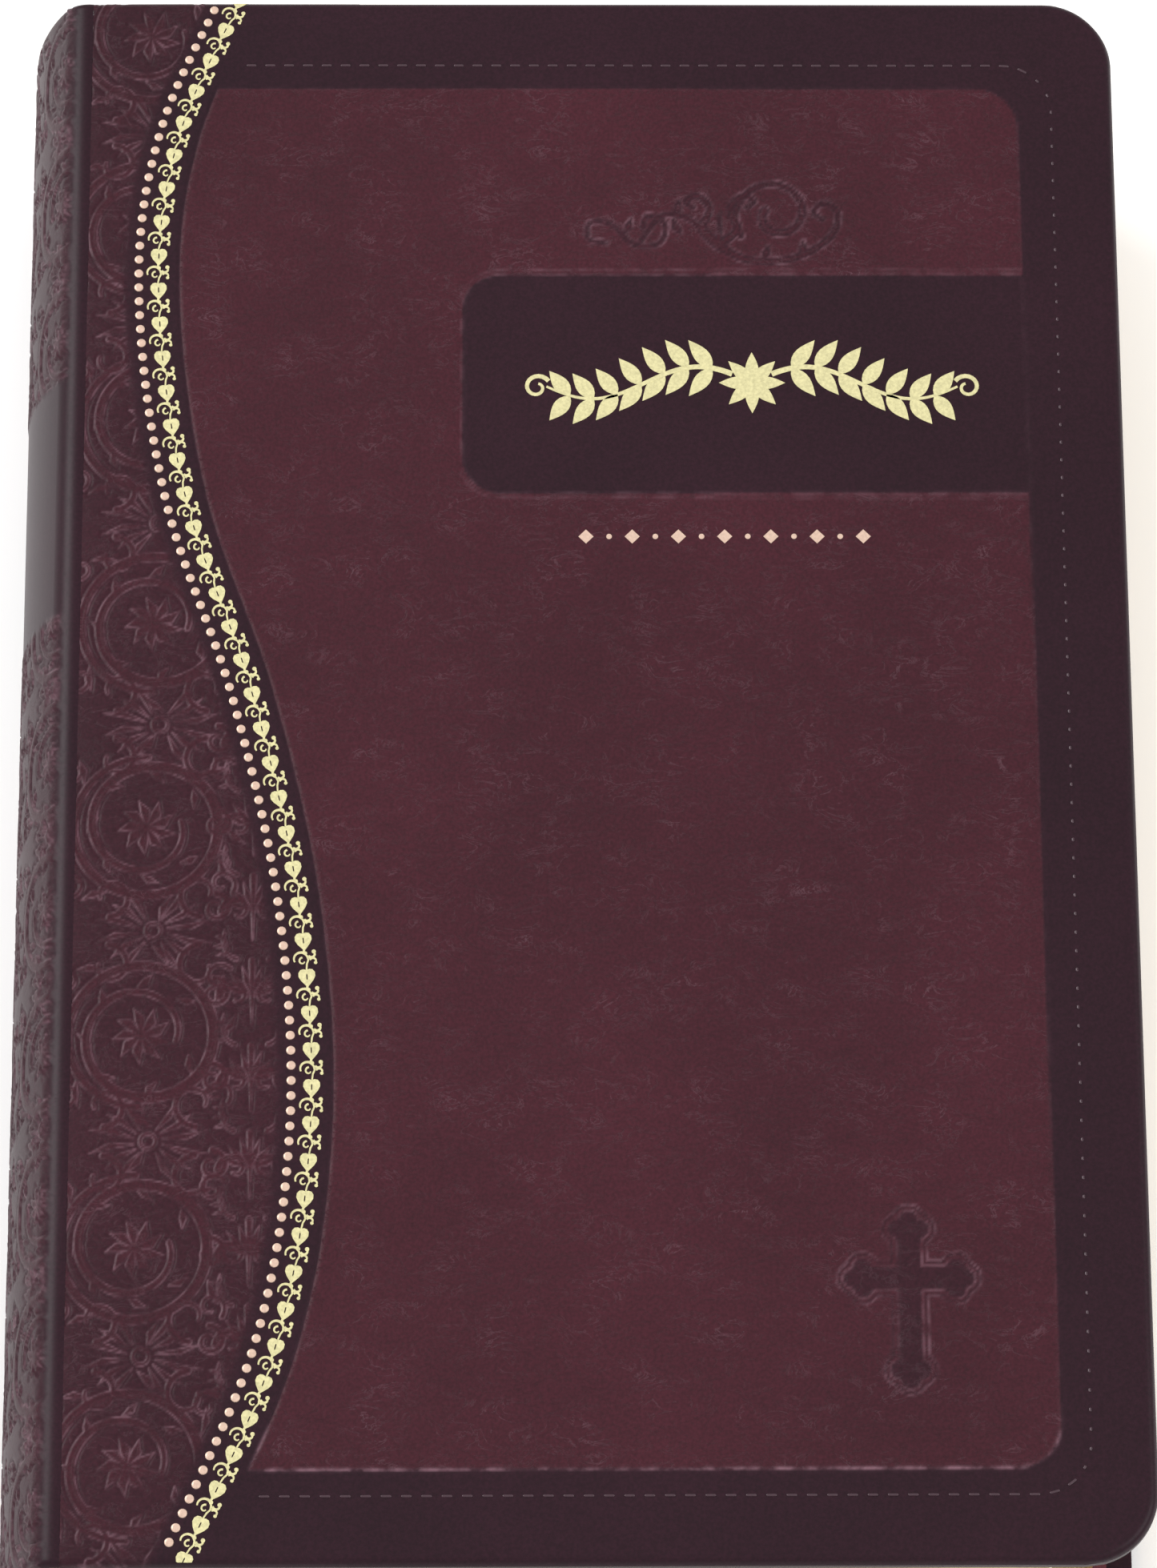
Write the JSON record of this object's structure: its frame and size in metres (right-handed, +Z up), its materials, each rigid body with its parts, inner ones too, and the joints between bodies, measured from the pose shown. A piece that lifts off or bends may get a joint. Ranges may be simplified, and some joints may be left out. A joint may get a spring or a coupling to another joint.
{
  "type": "prayer book",
  "caption": "Thick pocket-style devotional book with a flexible stitched-look cover, rounded spine and gilt page edges; both covers open and the leaves fan with them.",
  "frame": {"origin": "middle of the overall box, on the underside of the back cover", "axes": "+X from the spine to the fore-edge, +Y from the tail to the head, +Z up out of the front cover"},
  "size_m": [0.1396, 0.2064, 0.042],
  "materials": {
    "board": "matt",
    "plum_leather": "embossed satin",
    "endpaper": "matt",
    "infill_card": "matt",
    "text_paper": "matt, gilt at the edges",
    "gold_foil": "stamped foil",
    "headband_silk": "striped bead",
    "mull_cloth": "open weave",
    "rose_foil": "stamped foil",
    "thread": "waxed",
    "inlay_card": "matt",
    "liner_paper": "matt"
  },
  "bodies": {
    "block": {"spine_leather": "plum_leather", "spine_inlay": "inlay_card", "spine_liner": "liner_paper", "mull_lining": "mull_cloth", "sewing_thread": "thread", "section_folds": "text_paper", "headband": "headband_silk", "tailband": "headband_silk", "middle_section_1": "text_paper", "middle_section_2": "text_paper", "middle_section_3": "text_paper", "middle_section_4": "text_paper"},
    "front_cover": {"front_cover_leather": "plum_leather", "front_board": "board", "front_infill": "infill_card", "front_pastedown": "endpaper", "gold_leaf_border": "gold_foil", "rose_gold_dots": "rose_foil", "title_ornament": "gold_foil"},
    "back_cover": {"back_cover_leather": "plum_leather", "back_board": "board", "back_infill": "infill_card", "back_pastedown": "endpaper"},
    "front_flyleaf": {"front_flyleaf": "endpaper"},
    "front_leaves_1": {"front_leaves_1": "text_paper"},
    "front_leaves_2": {"front_leaves_2": "text_paper"},
    "front_leaves_3": {"front_leaves_3": "text_paper"},
    "front_leaves_4": {"front_leaves_4": "text_paper"},
    "front_leaves_5": {"front_leaves_5": "text_paper"},
    "back_flyleaf": {"back_flyleaf": "endpaper"},
    "back_leaves_1": {"back_leaves_1": "text_paper"},
    "back_leaves_2": {"back_leaves_2": "text_paper"},
    "back_leaves_3": {"back_leaves_3": "text_paper"},
    "back_leaves_4": {"back_leaves_4": "text_paper"},
    "back_leaves_5": {"back_leaves_5": "text_paper"}
  },
  "joints": [
    {"name": "front_cover_hinge", "type": "hinge", "parent": "block", "child": "front_cover", "pos_m": [-0.06025, 0, 0.04206], "axis": [0, -1, 0], "range_deg": [0, 180]},
    {"name": "front_flyleaf_turn", "type": "hinge", "parent": "block", "child": "front_flyleaf", "pos_m": [-0.06025, 0, 0.04206], "axis": [0, -1, 0], "range_deg": [0, 173.3]},
    {"name": "front_leaves_1_turn", "type": "hinge", "parent": "block", "child": "front_leaves_1", "pos_m": [-0.06025, 0, 0.04206], "axis": [0, -1, 0], "range_deg": [0, 158.9]},
    {"name": "front_leaves_2_turn", "type": "hinge", "parent": "block", "child": "front_leaves_2", "pos_m": [-0.06025, 0, 0.04206], "axis": [0, -1, 0], "range_deg": [0, 137.3]},
    {"name": "front_leaves_3_turn", "type": "hinge", "parent": "block", "child": "front_leaves_3", "pos_m": [-0.06025, 0, 0.04206], "axis": [0, -1, 0], "range_deg": [0, 112.1]},
    {"name": "front_leaves_4_turn", "type": "hinge", "parent": "block", "child": "front_leaves_4", "pos_m": [-0.06025, 0, 0.04206], "axis": [0, -1, 0], "range_deg": [0, 83.3]},
    {"name": "front_leaves_5_turn", "type": "hinge", "parent": "block", "child": "front_leaves_5", "pos_m": [-0.06025, 0, 0.04206], "axis": [0, -1, 0], "range_deg": [0, 50.9]},
    {"name": "back_cover_hinge", "type": "hinge", "parent": "block", "child": "back_cover", "pos_m": [-0.06025, 0, -0.00006], "axis": [0, 1, 0], "range_deg": [0, 180]},
    {"name": "back_flyleaf_turn", "type": "hinge", "parent": "block", "child": "back_flyleaf", "pos_m": [-0.06025, 0, -0.00006], "axis": [0, 1, 0], "range_deg": [0, 173.3]},
    {"name": "back_leaves_1_turn", "type": "hinge", "parent": "block", "child": "back_leaves_1", "pos_m": [-0.06025, 0, -0.00006], "axis": [0, 1, 0], "range_deg": [0, 158.9]},
    {"name": "back_leaves_2_turn", "type": "hinge", "parent": "block", "child": "back_leaves_2", "pos_m": [-0.06025, 0, -0.00006], "axis": [0, 1, 0], "range_deg": [0, 137.3]},
    {"name": "back_leaves_3_turn", "type": "hinge", "parent": "block", "child": "back_leaves_3", "pos_m": [-0.06025, 0, -0.00006], "axis": [0, 1, 0], "range_deg": [0, 112.1]},
    {"name": "back_leaves_4_turn", "type": "hinge", "parent": "block", "child": "back_leaves_4", "pos_m": [-0.06025, 0, -0.00006], "axis": [0, 1, 0], "range_deg": [0, 83.3]},
    {"name": "back_leaves_5_turn", "type": "hinge", "parent": "block", "child": "back_leaves_5", "pos_m": [-0.06025, 0, -0.00006], "axis": [0, 1, 0], "range_deg": [0, 50.9]}
  ],
  "couplings": [
    {"joint": "front_flyleaf_turn", "follows": "front_cover_hinge", "ratio": 0.96},
    {"joint": "front_leaves_1_turn", "follows": "front_cover_hinge", "ratio": 0.88},
    {"joint": "front_leaves_2_turn", "follows": "front_cover_hinge", "ratio": 0.76},
    {"joint": "front_leaves_3_turn", "follows": "front_cover_hinge", "ratio": 0.62},
    {"joint": "front_leaves_4_turn", "follows": "front_cover_hinge", "ratio": 0.46},
    {"joint": "front_leaves_5_turn", "follows": "front_cover_hinge", "ratio": 0.28},
    {"joint": "back_flyleaf_turn", "follows": "back_cover_hinge", "ratio": 0.96},
    {"joint": "back_leaves_1_turn", "follows": "back_cover_hinge", "ratio": 0.88},
    {"joint": "back_leaves_2_turn", "follows": "back_cover_hinge", "ratio": 0.76},
    {"joint": "back_leaves_3_turn", "follows": "back_cover_hinge", "ratio": 0.62},
    {"joint": "back_leaves_4_turn", "follows": "back_cover_hinge", "ratio": 0.46},
    {"joint": "back_leaves_5_turn", "follows": "back_cover_hinge", "ratio": 0.28}
  ]
}
